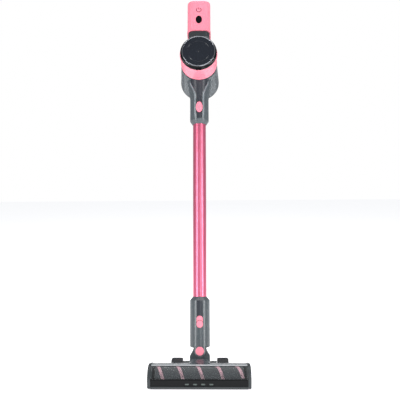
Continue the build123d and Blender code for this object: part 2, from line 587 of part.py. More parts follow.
# ---------------------------------------------------------------- dust cup, cyclone and lid
cup = cup_envelope(0) - turned(
    (0, CUP_FRONT + 1), (cup_radius(CUP_FRONT + 1) - CUP_WALL, CUP_FRONT + 1),
    (cup_radius(CUP_BACK - 1) - CUP_WALL, CUP_BACK - 1), (0, CUP_BACK - 1))
cup -= CHAMBER.inverse() * drum(16.0, AXIS_Z - 90, AXIS_Z - 20)
HINGE_Y = -(CUP_END_R + 3.9)
HINGE_Z = CUP_BACK - 2.0
LID_PIN_R = 1.6
KNUCKLE_R = 3.2
KNUCKLE_HALF = 8.6
EAR = (9.0, 14.0)
for side in (-1, 1):
    ear = sorted(side * x for x in EAR)
    cup += on_x(KNUCKLE_R, HINGE_Y, HINGE_Z, *ear)
    cup += block(ear, (HINGE_Y - KNUCKLE_R, 1.0 - CUP_END_R), (CUP_BACK + 0.1, CUP_BACK + 10))
cup -= on_x(LID_PIN_R, HINGE_Y, HINGE_Z, -20, 20)
LATCH_PIN_Y = CUP_END_R + 3.6
LATCH_PIN_Z = CUP_BACK + 10.0
LATCH_HALF = 8.2
for side in (-1, 1):
    lug = sorted((side * (LATCH_HALF + 0.4), side * (LATCH_HALF + 3.0)))
    cup += block(lug, (CUP_END_R - 3, LATCH_PIN_Y + 2.4), (LATCH_PIN_Z - 3, LATCH_PIN_Z + 3))
cup -= on_x(1.5, LATCH_PIN_Y, LATCH_PIN_Z, -20, 20)
cup -= turned((0, CUP_FRONT), (CUP_R - CUP_WALL, CUP_FRONT), (CUP_END_R - CUP_WALL, CUP_BACK), (0, CUP_BACK))
keep("dust_cup", cup, BARREL)
pins = on_x(LID_PIN_R, HINGE_Y, HINGE_Z, -EAR[1], EAR[1])
pins += on_x(1.5, LATCH_PIN_Y, LATCH_PIN_Z, -LATCH_HALF - 3.0, LATCH_HALF + 3.0)
keep("cup_pins", pins, BARREL)
gasket = drum(CUP_R - 0.5, CUP_FRONT + 0.05, PLATE_BACK - 0.05, CUP_R - CUP_WALL - 0.6)
keep("cup_gasket", gasket, BARREL)

LID_FACE = CUP_BACK - 0.3
LID_BACK = LID_FACE - LID_T
lid = turned((0, LID_BACK), (CUP_END_R - 7, LID_BACK + 0.5), (CUP_END_R - 1.5, LID_BACK + 3.0),
             (CUP_END_R, LID_FACE - 2.5), (CUP_END_R, LID_FACE), (CUP_END_R - 6.2, LID_FACE),
             (CUP_END_R - 7.2, LID_BACK + 3.2), (0, LID_BACK + 2.4))
lid += on_x(KNUCKLE_R, HINGE_Y, HINGE_Z, -KNUCKLE_HALF, KNUCKLE_HALF)
knuckle_web = (HINGE_Z - KNUCKLE_R - 1, HINGE_Z + 0.4)
lid += block((-KNUCKLE_HALF, KNUCKLE_HALF), (HINGE_Y, 4 - CUP_END_R), knuckle_web)
lid -= on_x(LID_PIN_R + FIT, HINGE_Y, HINGE_Z, -20, 20)
SEAL_R = CUP_END_R - CUP_WALL - 0.5
SEAL_BACK = LID_FACE - 2.6
lid -= drum(SEAL_R, SEAL_BACK, LID_FACE + 1, SEAL_R - 1.6)
keep("cup_lid", lid, BARREL)
keep("lid_seal", drum(SEAL_R, SEAL_BACK, CUP_BACK + 1.6, SEAL_R - 1.6), BARREL)

LATCH_END = LID_BACK - 1.5
latch = block((-LATCH_HALF, LATCH_HALF), (CUP_END_R + 1.0, CUP_END_R + 3.6), (LATCH_END, LATCH_PIN_Z + 1.5))
latch += on_x(2.6, LATCH_PIN_Y, LATCH_PIN_Z, -LATCH_HALF, LATCH_HALF)
latch += on_x(1.6, CUP_END_R + 3.4, LID_BACK, -LATCH_HALF, LATCH_HALF)
latch -= on_x(1.5 + FIT, LATCH_PIN_Y, LATCH_PIN_Z, -20, 20)
keep("lid_latch", latch, BARREL)

TUBE_CYCLONE = 20.0
cyclone = drum(40.0, PLATE_BACK - 4.0, PLATE_BACK, 18.0)
cyclone += drum(TUBE_CYCLONE + 2, MESH_BACK, PLATE_BACK - 3, TUBE_CYCLONE)
cyclone += turned((0, MESH_BACK - 3), (MESH_R + 6.5, MESH_BACK - 6), (MESH_R + 6.5, MESH_BACK - 4.5),
                  (MESH_R + 1, MESH_BACK), (0, MESH_BACK))
keep("cyclone_core", cyclone, BARREL)
keep("mesh_screen", drum(MESH_R, MESH_BACK, PLATE_BACK - 4.0, MESH_R - 1.2), BARREL)

# ---------------------------------------------------------------- handle
HEAD_AXIS = 18.0  # of the column, along the barrel
COLLAR_R = 27.3
COLLAR_TOP = 86.4
COLUMN_TOP = 180.5
LIP_TALL = 5.6
POWER_AT = 120.0  # middle of the power button, up the column
GRIP_START = 168.0
GRIP_END = 138.0
GRIP_T = 34.0
DOCK_Z = LOOP_BACK - 6.4
POST_FRONT = 32.0
POST_BACK = 4.0
POST_TOP = COLUMN_TOP - 8.0

# corners as (up, along the barrel)
outer_line = [
    (44, PLATE_FRONT - 1.5), (66, POST_FRONT), (POST_TOP, POST_FRONT), (POST_TOP, POST_BACK),
    (GRIP_START, -10), (GRIP_END - 2.3, DOCK_Z), (BATTERY_BOTTOM + 6, DOCK_Z), (CUP_END_R + 5.4, -52),
    (44, -44)]
inner_line = [(67, -10), (GRIP_START - GRIP_T, -13), (GRIP_END - GRIP_T + 1, DOCK_Z + 14),
              (90, DOCK_Z + 14), (70, -50)]
FRAME_WALL = 2.4
outside = fillet(make_face(Polyline(*outer_line, close=True)).vertices(), 8.0)
inside = fillet(make_face(Polyline(*inner_line, close=True)).vertices(), 8.0)


def side_edges(body):
    """The edges along the two flat sides of the handle's frame."""
    return body.edges().filter_by(lambda edge: abs(edge.center().X) > FRAME_HALF - 0.1)


TONGUE_HALF = 10.0
frame = across(outside, -FRAME_HALF, FRAME_HALF)
frame = fillet(side_edges(frame), 6.0)
frame -= across(inside, -FRAME_HALF - 1, FRAME_HALF + 1)
loop_edges = side_edges(frame).filter_by(
    lambda edge: 62 < edge.center().Y < GRIP_END - 1 and DOCK_Z + 12 < edge.center().Z < -8)
frame = fillet(loop_edges, 4.5)
hollow = offset(outside, -FRAME_WALL) - offset(inside, FRAME_WALL)
frame -= across(hollow, FRAME_WALL - FRAME_HALF, FRAME_HALF - FRAME_WALL)
frame += block((-TONGUE_HALF, TONGUE_HALF), (BATTERY_BOTTOM + 14, GRIP_END - 16), (DOCK_Z - 7.0, DOCK_Z + 1))
frame -= cup_envelope(1.2, PLATE_BACK)
frame -= drum(BARREL_R + 0.1, PLATE_BACK - 2, PLATE_FRONT + 0.2)
frame -= drum(BARREL_R + 2.2, PLATE_FRONT, BARREL_FRONT)
handle_screw_at = [(121, -50), (58.5, -30), (112, LOOP_BACK + 1.0)]
handle_screws = None
for up, along in handle_screw_at:
    frame -= on_x(3.0, up, along, -FRAME_HALF - 1, -FRAME_HALF + 1.4)
    screw = on_x(2.7, up, along, -FRAME_HALF + 0.2, -FRAME_HALF + 1.4)
    screw -= Pos(-FRAME_HALF + 0.2, up, along) * Box(1.0, 3.6, 0.8)
    handle_screws = screw if handle_screws is None else handle_screws + screw
left_half = frame & block((-60, 0), (-20, 260), (-200, 100))
right_half = frame & block((0, 60), (-20, 260), (-200, 100))
keep("handle_left", left_half, BARREL)
keep("handle_right", right_half, BARREL)
keep("handle_screws", handle_screws, BARREL)

# column: round collar below, two pink half shells above
COLUMN = Location((0, 0, HEAD_AXIS), (-90, 0, 0))  # its +Z points up the column
through = across(offset(outside, GAP), -FRAME_HALF - GAP, FRAME_HALF + GAP)
collar = COLUMN * drum(COLLAR_R, 30, COLLAR_TOP, COLLAR_R - 2.4)
collar -= through
collar -= drum(BARREL_R + 2.4, -60, BARREL_FRONT + 5) + cup_envelope(2.4, PLATE_FRONT + 1)
keep("handle_collar", collar, BARREL)

LIP_TOP = COLLAR_TOP + LIP_TALL


def column(grow, low, high):
    """The squarish column of the handle's head, a distance larger all round, between two heights."""
    wide = 2 * (HEAD_HALF + grow)
    return Pos(0, 0, low) * extrude(RectangleRounded(wide, wide, HEAD_CORNER + grow), high - low)


shell = column(0, COLLAR_TOP + 0.4, COLUMN_TOP)
shell = softened(shell, HEAD_CROWN, shell.edges().group_by(Axis.Z)[-1])
shell += column(0.7, COLLAR_TOP + 0.4, LIP_TOP)
shell -= column(-SHELL, COLLAR_TOP - 1, COLUMN_TOP - SHELL)
shell = COLUMN * shell
DISPLAY_R = 14.0
shell -= COLUMN * drum(DISPLAY_R + 0.2, COLUMN_TOP - 1.4, COLUMN_TOP + 1)
power_shape = Ellipse(POWER_W / 2, POWER_H / 2)
power_bay = facing(Ellipse(POWER_W / 2 + SLIDE, POWER_H / 2 + SLIDE), -HEAD_HALF - 6, -10)
TO_FRONT = Location((0, POWER_AT, HEAD_AXIS), (-90, 0, 0))
shell -= TO_FRONT * power_bay
shell -= through & block((-60, 60), (0, 260), (-120, POST_FRONT - 8))
front_shell = shell & block((-60, 60), (0, 260), (HEAD_AXIS + 0.05, 120))
rear_shell = shell & block((-60, 60), (0, 260), (-120, HEAD_AXIS - 0.05))
keep("handle_head_front", front_shell, BARREL)
keep("handle_head_rear", rear_shell, BARREL)
keep("display_lens", COLUMN * drum(DISPLAY_R, COLUMN_TOP - 1.3, COLUMN_TOP + 0.1), BARREL)
POWER_BACK = 25.5
power = facing(power_shape, -HEAD_HALF - 0.8, -POWER_BACK)
keep("power_button", power, BARREL * TO_FRONT)
keep("control_board", block((-11, 11), (96, 160), (POST_FRONT + 1.5, POST_FRONT + 3.1)), BARREL)


def grip_band(start, end, lift, thick, front, back):
    """A strip along one line of the handle's outline, from one place along the barrel to another."""
    slope = (end[0] - start[0]) / (end[1] - start[1])
    near, far = [start[0] + slope * (z - start[1]) + lift for z in (front, back)]
    return [(near, front), (far, back), (far + thick, back), (near + thick, front)]


cover_band = grip_band(outer_line[4], outer_line[5], 0.05, 2.2, HEAD_AXIS - HEAD_HALF - 4, DOCK_Z + 14)
keep("grip_cover", across(cover_band, -11.0, 11.0), BARREL)
pad_band = grip_band(inner_line[1], inner_line[2], -2.05, 2.0, -24, DOCK_Z + 26)
keep("grip_pad", across(pad_band, -11.0, 11.0), BARREL)

# ---------------------------------------------------------------- battery
BATTERY_BACK = DOCK_Z - 0.4 - BATTERY_L
pack = block((-BATTERY_HALF, BATTERY_HALF), (BATTERY_BOTTOM, BATTERY_TOP), (BATTERY_BACK, DOCK_Z - 0.4))
pack = softened(pack, 6.0, pack.edges().filter_by(Axis.Z))
pack = softened(pack, 4.0, pack.edges().group_by(Axis.Z)[0])
tongue_bay = (-TONGUE_HALF - 0.4, TONGUE_HALF + 0.4)
pack -= block(tongue_bay, (BATTERY_BOTTOM + 13.6, GRIP_END - 15.6), (DOCK_Z - 7.6, DOCK_Z + 1))
LATCH_AT = DOCK_Z - 16.0
key = RectangleRounded(18.0, 12.0, 3.0)
UP = Location((0, 0, LATCH_AT), (-90, 0, 0))
pack -= UP * extrude(Pos(0, 0, BATTERY_TOP - 5.4) * offset(key, SLIDE), 10)
JACK_Y = BATTERY_BOTTOM + 13.0
SOCKET_R = 6.0
pack -= Pos(0, JACK_Y, 0) * drum(SOCKET_R, BATTERY_BACK - 1, BATTERY_BACK + JACK_DEPTH + 2)
keep("battery_pack", pack, BARREL)
keep("battery_latch", UP * extrude(Pos(0, 0, BATTERY_TOP - 2.6) * key, 3.8), BARREL)
socket = Pos(0, JACK_Y, 0) * drum(SOCKET_R, BATTERY_BACK, BATTERY_BACK + JACK_DEPTH + 2)
socket -= Pos(0, JACK_Y, 0) * drum(JACK_R, BATTERY_BACK - 1, BATTERY_BACK + JACK_DEPTH)
keep("charge_socket", socket, BARREL)

os.makedirs("parts", exist_ok=True)
for name, shape in PARTS.items():
    export_step(shape, f"parts/{name}.step")
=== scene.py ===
import json
import math

import bmesh
import bpy
import numpy as np
from mathutils import Matrix, Vector


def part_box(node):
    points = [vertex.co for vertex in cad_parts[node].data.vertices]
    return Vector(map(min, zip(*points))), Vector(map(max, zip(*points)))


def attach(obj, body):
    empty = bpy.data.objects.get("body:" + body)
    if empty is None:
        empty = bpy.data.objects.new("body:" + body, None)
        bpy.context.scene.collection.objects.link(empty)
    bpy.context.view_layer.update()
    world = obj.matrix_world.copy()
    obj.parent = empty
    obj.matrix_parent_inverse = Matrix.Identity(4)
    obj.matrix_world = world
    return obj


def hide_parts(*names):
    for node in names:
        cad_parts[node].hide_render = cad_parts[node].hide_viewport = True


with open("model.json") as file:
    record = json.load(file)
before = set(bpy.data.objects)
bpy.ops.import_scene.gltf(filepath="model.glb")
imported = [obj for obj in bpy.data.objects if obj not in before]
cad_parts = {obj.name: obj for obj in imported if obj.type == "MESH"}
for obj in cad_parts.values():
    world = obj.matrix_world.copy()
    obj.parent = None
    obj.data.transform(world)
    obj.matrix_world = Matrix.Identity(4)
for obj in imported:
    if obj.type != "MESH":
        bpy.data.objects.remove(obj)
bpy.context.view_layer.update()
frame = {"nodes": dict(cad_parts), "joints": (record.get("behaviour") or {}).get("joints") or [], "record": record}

# ---------------------------------------------------------------- studio
# A pale floor and soft daylight-white studio light, with two tall strip lights at the sides of the camera.
# The camera stands in front, a little right of the middle, and looks slightly down at the whole cleaner.
scene = bpy.context.scene
scene.view_settings.view_transform = "Standard"

camera = bpy.data.objects.new("camera", bpy.data.cameras.new("camera"))
camera.data.lens = 42.42
camera.data.sensor_width = 36.0
camera.data.shift_x = 0.0024
camera.data.shift_y = 0.0012
camera.location = (0.0283, -1.0767, 0.4969)
ROLL = math.radians(-0.5)
view_line = Vector((-0.0244, 0.9973, -0.0698))
camera_turn = view_line.to_track_quat("-Z", "Y").to_matrix() @ Matrix.Rotation(ROLL, 3, "Z")
camera.rotation_euler = camera_turn.to_euler()
scene.collection.objects.link(camera)
scene.camera = camera


def softbox(name, place, size, watts, aim=(0.0, 0.1, 0.5)):
    """A rectangular studio light that faces the cleaner."""
    lamp = bpy.data.objects.new(name, bpy.data.lights.new(name, "AREA"))
    lamp.data.shape = "RECTANGLE"
    lamp.data.size, lamp.data.size_y = size
    lamp.data.energy = watts
    lamp.location = place
    lamp.rotation_euler = (Vector(aim) - Vector(place)).to_track_quat("-Z", "Y").to_euler()
    scene.collection.objects.link(lamp)


softbox("top_light", (0.1, 0.55, 2.3), (1.8, 1.3), 26)
softbox("front_light", (0.5, -2.2, 1.0), (0.35, 1.7), 9)
softbox("left_strip", (-1.25, -1.0, 0.6), (0.3, 1.9), 22)
softbox("right_strip", (1.3, -0.95, 0.6), (0.3, 1.9), 22)

world = bpy.data.worlds.new("studio")
world.use_nodes = True
air = world.node_tree
air.nodes.clear()
sky, glow = air.nodes.new("ShaderNodeBackground"), air.nodes.new("ShaderNodeBackground")
sky.inputs["Color"].default_value = (0.80, 0.82, 0.86, 1)
sky.inputs["Strength"].default_value = 0.42
glow.inputs["Color"].default_value = (1, 1, 1, 1)
path, blend, sky_out = [air.nodes.new(kind) for kind in
                        ("ShaderNodeLightPath", "ShaderNodeMixShader", "ShaderNodeOutputWorld")]
air.links.new(path.outputs["Is Camera Ray"], blend.inputs[0])
air.links.new(sky.outputs[0], blend.inputs[1])
air.links.new(glow.outputs[0], blend.inputs[2])
air.links.new(blend.outputs[0], sky_out.inputs[0])
scene.world = world


class Value:
    """A number, colour or vector inside a material, which Python's operators work on."""

    def __init__(self, finish, socket):
        self.finish, self.socket = finish, socket

    def maths(self, operation, first, second=0.0):
        return self.finish.node("ShaderNodeMath", {"operation": operation}, {0: first, 1: second})

    def __add__(self, other):
        return self.maths("ADD", self, other)

    def __sub__(self, other):
        return self.maths("SUBTRACT", self, other)

    def __rsub__(self, other):
        return self.maths("SUBTRACT", other, self)

    def __mul__(self, other):
        return self.maths("MULTIPLY", self, other)

    def __gt__(self, other):
        return self.maths("GREATER_THAN", self, other)

    def __lt__(self, other):
        return self.maths("LESS_THAN", self, other)

    __radd__, __rmul__ = __add__, __mul__


class Finish:
    """A material that is built node by node and ends in one Principled shader."""

    def __init__(self, name):
        self.material = bpy.data.materials.new(name)
        self.material.use_nodes = True
        self.tree = self.material.node_tree
        self.tree.nodes.clear()

    def node(self, kind, settings=None, sockets=None, out=0):
        made = self.tree.nodes.new(kind)
        for key, setting in (settings or {}).items():
            if key == "stops":
                ramp = made.color_ramp
                while len(ramp.elements) < len(setting):
                    ramp.elements.new(0.5)
                for element, (place, colour) in zip(ramp.elements, setting):
                    element.position, element.color = place, colour
            else:
                setattr(made, key, setting)
        for key, value in (sockets or {}).items():
            if isinstance(value, Value):
                self.tree.links.new(value.socket, made.inputs[key])
            else:
                made.inputs[key].default_value = value
        return Value(self, made.outputs[out])

    def place(self):
        """Where a point of the piece lies, in metres."""
        return self.node("ShaderNodeTexCoord", out=3)

    def part(self, vector, axis):
        return self.node("ShaderNodeSeparateXYZ", None, {0: vector}, "XYZ".index(axis))

    def noise(self, size_mm, stretch=(1, 1, 1), detail=2.0):
        """A soft random pattern whose grains are about this size."""
        spot = self.node("ShaderNodeMapping", None, {"Vector": self.place(), "Scale": stretch})
        return self.node("ShaderNodeTexNoise", None,
                         {"Vector": spot, "Scale": 1000.0 / size_mm, "Detail": detail})

    def mix(self, factor, first, second):
        return self.node("ShaderNodeMix", {"data_type": "RGBA"}, {0: factor, 6: first, 7: second}, 2)

    def square_root(self, value):
        return self.node("ShaderNodeMath", {"operation": "SQRT"}, {0: value})

    def bump(self, height, depth_mm, strength=1.0):
        return self.node("ShaderNodeBump", None,
                         {"Height": height, "Distance": depth_mm / 1000.0, "Strength": strength})

    def shader(self, **sockets):
        named = {key.replace("_", " "): value for key, value in sockets.items()}
        return self.node("ShaderNodeBsdfPrincipled", None, named)

    def done(self, surface):
        end = self.tree.nodes.new("ShaderNodeOutputMaterial")
        self.tree.links.new(surface.socket, end.inputs[0])
        return self.material


def colour(red, green, blue):
    """A colour given as it looks on a screen, 0 to 255, as the shader's own linear values."""
    def linear(c):
        c /= 255.0
        return c / 12.92 if c <= 0.04045 else ((c + 0.055) / 1.055) ** 2.4
    return (linear(red), linear(green), linear(blue), 1.0)


floor_paint = Finish("studio_floor")
speck = floor_paint.noise(180, detail=3.0)
floor_tone = floor_paint.mix(speck, colour(246, 246, 247), colour(250, 250, 250))
FLOOR_REACH = 6  # metres, from the middle to each side
floor_corners = [(x * FLOOR_REACH, y * FLOOR_REACH, 0) for x, y in ((-1, -1), (1, -1), (1, 1), (-1, 1))]
floor_mesh = bpy.data.meshes.new("studio_floor")
floor_mesh.from_pydata(floor_corners, [], [(0, 1, 2, 3)])
floor = bpy.data.objects.new("studio_floor", floor_mesh)
floor_mesh.materials.append(floor_paint.done(floor_paint.shader(
    Base_Color=floor_tone, Roughness=0.8, Emission_Color=(1, 1, 1, 1), Emission_Strength=0.62)))
scene.collection.objects.link(floor)

# ---------------------------------------------------------------- floor head: casing and end caps
# The head is a moulded base and cover in satin dark grey plastic, closed at both ends by rounded caps that
# are clipped on. The grain of the mould shows as a very fine, even texture.
nodes = frame["nodes"]
body_of = {name: body for body, names in frame["record"]["behaviour"]["bodies"].items() for name in names}


def finish_node(name, material):
    """Gives a frame piece its finish."""
    nodes[name].data.materials.clear()
    nodes[name].data.materials.append(material)


def set_in_place(obj, node):
    """Lets a new piece stand for a frame piece: it joins the same body, and the frame piece is hidden."""
    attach(obj, body_of[node])
    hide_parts(node)
    return obj


def add_piece(name, mesh, material):
    """A new object with this mesh and this one finish."""
    obj = bpy.data.objects.new(name, mesh)
    obj.data.materials.clear()
    obj.data.materials.append(material)
    scene.collection.objects.link(obj)
    return obj


SMOOTH_UNDER = math.radians(32)  # an edge that bends more than this stays sharp


def polished(node, material):
    """The frame piece again with its facets welded, so that its round faces shade smoothly."""
    mesh = nodes[node].data.copy()
    work = bmesh.new()
    work.from_mesh(mesh)
    bmesh.ops.remove_doubles(work, verts=work.verts, dist=1e-6)
    bmesh.ops.dissolve_degenerate(work, edges=work.edges, dist=1e-7)
    for face in work.faces:
        face.smooth = True
    for edge in work.edges:
        edge.smooth = len(edge.link_faces) == 2 and edge.calc_face_angle(0.0) < SMOOTH_UNDER
    work.to_mesh(mesh)
    work.free()
    return set_in_place(add_piece(node + "_shell", mesh, material), node)


def moulded(name, base, light, roughness, grain_mm=0.35, depth_mm=0.012, shine=0.5):
    """Moulded plastic: an even colour with slow tone changes, a fine mould grain and faint handling marks."""
    finish = Finish(name)
    tone = finish.mix(finish.noise(60, detail=3.0), base, light)
    wear = finish.noise(9, stretch=(1, 1, 0.35), detail=4.0)
    return finish.done(finish.shader(
        Base_Color=tone, Roughness=roughness + (wear - 0.5) * 0.12, Specular_IOR_Level=shine,
        Normal=finish.bump(finish.noise(grain_mm), depth_mm, 0.6)))


GREY, GREY_LIGHT = colour(70, 77, 81), colour(80, 87, 91)
grey_plastic = moulded("satin_grey_plastic", GREY, GREY_LIGHT, 0.27)
dark_plastic = moulded("dark_textured_plastic", colour(36, 41, 44), colour(46, 51, 54), 0.38, 0.6, 0.03)
black_gloss = moulded("polished_black_plastic", colour(6, 7, 9), colour(10, 12, 14), 0.12, 1.6, 0.004, 0.18)

polished("head_cover", grey_plastic)
polished("head_base", dark_plastic)
polished("end_cap_left", dark_plastic)
polished("end_cap_right", dark_plastic)

# ---------------------------------------------------------------- floor head: bumper, lamps and glide strip
# A polished black bumper bar runs along the front, with a shallow bay for a row of clear LED lenses.
# A felt strip is glued under the sole, and five small steel screws hold the sole to the cover.
polished("front_bumper", black_gloss)

lens = Finish("clear_led_lens")
ring = lens.noise(1.5)
polished("led_lenses", lens.done(lens.shader(
    Base_Color=lens.mix(ring, colour(52, 62, 60), colour(80, 90, 86)), Roughness=0.24)))

felt = Finish("dark_felt")
fibre = felt.noise(0.8, stretch=(1, 3, 1), detail=6.0)
finish_node("glide_strip", felt.done(felt.shader(
    Base_Color=felt.mix(fibre, colour(62, 62, 66), colour(104, 103, 106)), Roughness=0.95,
    Normal=felt.bump(fibre, 0.3))))

steel = Finish("turned_steel")
turning = steel.noise(0.7, stretch=(1, 1, 4), detail=3.0)
steel_metal = steel.done(steel.shader(
    Base_Color=steel.mix(turning, colour(150, 152, 156), colour(188, 190, 194)), Metallic=1.0,
    Roughness=0.26 + turning * 0.16, Normal=steel.bump(turning, 0.01)))
for name in ("head_screws", "steer_pins", "cup_pins", "pivot_axles", "brush_motor", "motor_pinion",
             "handle_screws"):
    polished(name, steel_metal)

# ---------------------------------------------------------------- floor head: clear window
# A curved sheet of clear polycarbonate snaps over the roller. Where it turns from view it shows more of its pale
# gloss, and the bright line along its top edge is a painted highlight.
clear = Finish("clear_polycarbonate")
haze = clear.noise(12, detail=4.0)
edge_light = clear.node("ShaderNodeLayerWeight", None, {"Blend": 0.2}, 1)
clear_gloss = clear.shader(Base_Color=clear.mix(haze, colour(225, 230, 232), colour(245, 248, 250)),
                           Roughness=0.03 + haze * 0.03)
HIGHLIGHT_LINE_DEPTH = 0.0002  # how far down from its top the window's painted highlight line reaches
# Painted highlight: along its top edge the window is mixed strongly toward its pale gloss, so it shows a white
# line.
painted_highlight_line = clear.part(clear.place(), "Z") > (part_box("roller_window")[1].z - HIGHLIGHT_LINE_DEPTH)
clear_through = clear.node("ShaderNodeBsdfTransparent", None, {"Color": (0.97, 0.98, 0.98, 1)})
polished("roller_window", clear.done(clear.node("ShaderNodeMixShader", None, {
    0: 0.012 + edge_light * 0.14 + painted_highlight_line * 0.6, 1: clear_through, 2: clear_gloss})))

# ---------------------------------------------------------------- floor head: brush roller
# The roller is a turned core wrapped in dark cut-pile plush, with one row of stiff pink nylon bristles that
# winds round it as a long helix. It runs in the hood behind the clear window.
roller_low, roller_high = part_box("roller_plush")
ROLLER_AXIS = (roller_low + roller_high) / 2
ROLLER_R = (roller_high.z - roller_low.z) / 2
ROLLER_HALF = (roller_high.x - roller_low.x) / 2
PILE = 0.0012
TUFT_LIFT = 0.00042  # how much the tufts differ in height
END_DROP = 0.0015  # the pile is cut lower at both ends
LEAD = 0.0462  # the helix advances this much in one turn
STRIPE_W = 0.0066
STRIPE_START = math.radians(130)


def plush_mesh():
    """A pile surface: a fine grid round the roller, each point raised by its own tuft."""
    rng = np.random.default_rng(7)
    along, around = 330, 264
    verts, faces = [], []
    lift = rng.normal(0.0, 1.0, (along, around))
    lift = (lift + np.roll(lift, 1, 0) + np.roll(lift, 1, 1)) / 3
    for i in range(along):
        x = ROLLER_HALF * (2 * i / (along - 1) - 1)
        for j in range(around):
            turn = 2 * math.pi * j / around
            r = ROLLER_R - PILE + TUFT_LIFT * float(lift[i, j])
            if i in (0, along - 1):
                r -= END_DROP
            verts.append(ROLLER_AXIS + Vector((x, r * math.cos(turn), r * math.sin(turn))))
    for i in range(along - 1):
        for j in range(around):
            k = (j + 1) % around
            faces.append((i * around + j, i * around + k, (i + 1) * around + k, (i + 1) * around + j))
    faces.append(tuple(range(around - 1, -1, -1)))
    faces.append(tuple((along - 1) * around + j for j in range(around)))
    mesh = bpy.data.meshes.new("roller_pile")
    mesh.from_pydata(verts, [], faces)
    work = bmesh.new()
    work.from_mesh(mesh)
    bmesh.ops.recalc_face_normals(work, faces=work.faces)
    work.to_mesh(mesh)
    work.free()
    mesh.polygons.foreach_set("use_smooth", [True] * len(mesh.polygons))
    return mesh


pile = Finish("dark_plush")
tuft = pile.noise(0.9, detail=5.0)
tone = pile.mix(tuft, colour(28, 31, 34), colour(50, 54, 58))
plush = add_piece("roller_pile", plush_mesh(), pile.done(pile.shader(
    Base_Color=tone, Roughness=0.9, Sheen_Weight=0.35, Sheen_Roughness=0.5, Normal=pile.bump(tuft, 0.4))))
set_in_place(plush, "roller_plush")
polished("roller_core", dark_plastic)


def new_tree(name, inputs):
    """An empty Geometry Nodes tree with named inputs."""
    tree = bpy.data.node_groups.new(name, "GeometryNodeTree")
    tree.interface.new_socket("Geometry", in_out="OUTPUT", socket_type="NodeSocketGeometry")
    for label, kind, value in inputs:
        socket = tree.interface.new_socket(label, in_out="INPUT", socket_type=kind)
        if value is not None:
            socket.default_value = value
    return tree


class Grow:
    """Adds and links the nodes of a Geometry Nodes tree."""

    def __init__(self, tree):
        self.tree = tree
        self.inputs = tree.nodes.new("NodeGroupInput")
        self.output = tree.nodes.new("NodeGroupOutput")

    def given(self, label):
        return self.inputs.outputs[label]

    def node(self, kind, settings=None, sockets=None, out=0):
        made = self.tree.nodes.new(kind)
        for key, setting in (settings or {}).items():
            setattr(made, key, setting)
        for key, value in (sockets or {}).items():
            if isinstance(value, bpy.types.NodeSocket):
                self.tree.links.new(value, made.inputs[key])
            else:
                made.inputs[key].default_value = value
        return made.outputs[out]

    def finish(self, geometry, material):
        """Ends the tree: instances made real, one material, out."""
        real = self.node("GeometryNodeRealizeInstances", None, {0: geometry})
        painted = self.node("GeometryNodeSetMaterial", None, {"Geometry": real, "Material": material})
        self.tree.links.new(painted, self.output.inputs[0])


def grown(name, tree, material, values=None):
    """Runs a tree on an empty mesh and returns the result as a plain mesh object."""
    seed = bpy.data.objects.new(name + "_seed", bpy.data.meshes.new(name + "_seed"))
    scene.collection.objects.link(seed)
    modifier = seed.modifiers.new("grow", "NODES")
    modifier.node_group = tree
    sockets = {item.name: item.identifier for item in tree.interface.items_tree if item.in_out == "INPUT"}
    for label, value in (values or {}).items():
        modifier[sockets[label]] = value
    bpy.context.view_layer.update()
    ready = seed.evaluated_get(bpy.context.evaluated_depsgraph_get())
    mesh = bpy.data.meshes.new_from_object(ready)
    seed.modifiers.remove(modifier)
    bpy.data.objects.remove(seed)
    mesh.name = name
    return add_piece(name, mesh, material)


nylon = Finish("pink_nylon_bristle")
strand = nylon.noise(0.5, detail=3.0)
pink_nylon = nylon.done(nylon.shader(
    Base_Color=nylon.mix(strand, colour(255, 196, 208), colour(255, 224, 232)), Roughness=0.5,
    Normal=nylon.bump(strand, 0.15)))

bristle_tree = new_tree("helix_of_bristles", [
    ("Radius", "NodeSocketFloat", 0.019), ("Turns", "NodeSocketFloat", 4.4),
    ("Length", "NodeSocketFloat", 0.2), ("Count", "NodeSocketInt", 700),
    ("Tuft Length", "NodeSocketFloat", 0.0026), ("Row Width", "NodeSocketFloat", 0.005)])
grow = Grow(bristle_tree)
helix = grow.node("GeometryNodeCurveSpiral", None, {
    "Resolution": 64, "Rotations": grow.given("Turns"), "Start Radius": grow.given("Radius"),
    "End Radius": grow.given("Radius"), "Height": grow.given("Length"), "Reverse": False})
line = grow.node("GeometryNodeCurveToPoints", {"mode": "COUNT"}, {
    "Curve": helix, "Count": grow.given("Count")})
tuft_shape = grow.node("GeometryNodeMeshCone", {"fill_type": "TRIANGLE_FAN"}, {
    "Vertices": 5, "Side Segments": 1, "Radius Top": 0.00022, "Radius Bottom": 0.00036,
    "Depth": grow.given("Tuft Length")})
joined = grow.tree.nodes.new("GeometryNodeJoinGeometry")
ROWS = 9
SCATTER = (0.0003, 0.0003, 0.0003)  # how far a tuft may stand off its row
for i in range(ROWS):
    share = i / (ROWS - 1) - 0.5
    width = grow.node("ShaderNodeMath", {"operation": "MULTIPLY"}, {0: grow.given("Row Width"), 1: share})
    across = grow.node("ShaderNodeCombineXYZ", None, {"Z": width})
    jitter = grow.node("FunctionNodeRandomValue", {"data_type": "FLOAT_VECTOR"}, {
        0: tuple(-reach for reach in SCATTER), 1: SCATTER, "Seed": 11 + i})
    shift = grow.node("ShaderNodeVectorMath", {"operation": "ADD"}, {0: across, 1: jitter})
    placed = grow.node("GeometryNodeSetPosition", None, {"Geometry": line, "Offset": shift})
    position = grow.node("GeometryNodeInputPosition")
    flat = grow.node("ShaderNodeVectorMath", {"operation": "MULTIPLY"}, {0: position, 1: (1, 1, 0)})
    facing = grow.node("FunctionNodeAlignEulerToVector", {"axis": "Z"}, {"Vector": flat})
    tufts = grow.node("GeometryNodeInstanceOnPoints", None, {
        "Points": placed, "Instance": tuft_shape, "Rotation": facing})
    grow.tree.links.new(tufts, joined.inputs[0])
grow.finish(joined.outputs[0], pink_nylon)
ROOT_DEPTH = 0.0028  # the feet of the tufts lie this far below the roller's surface
END_MARGIN = 0.002
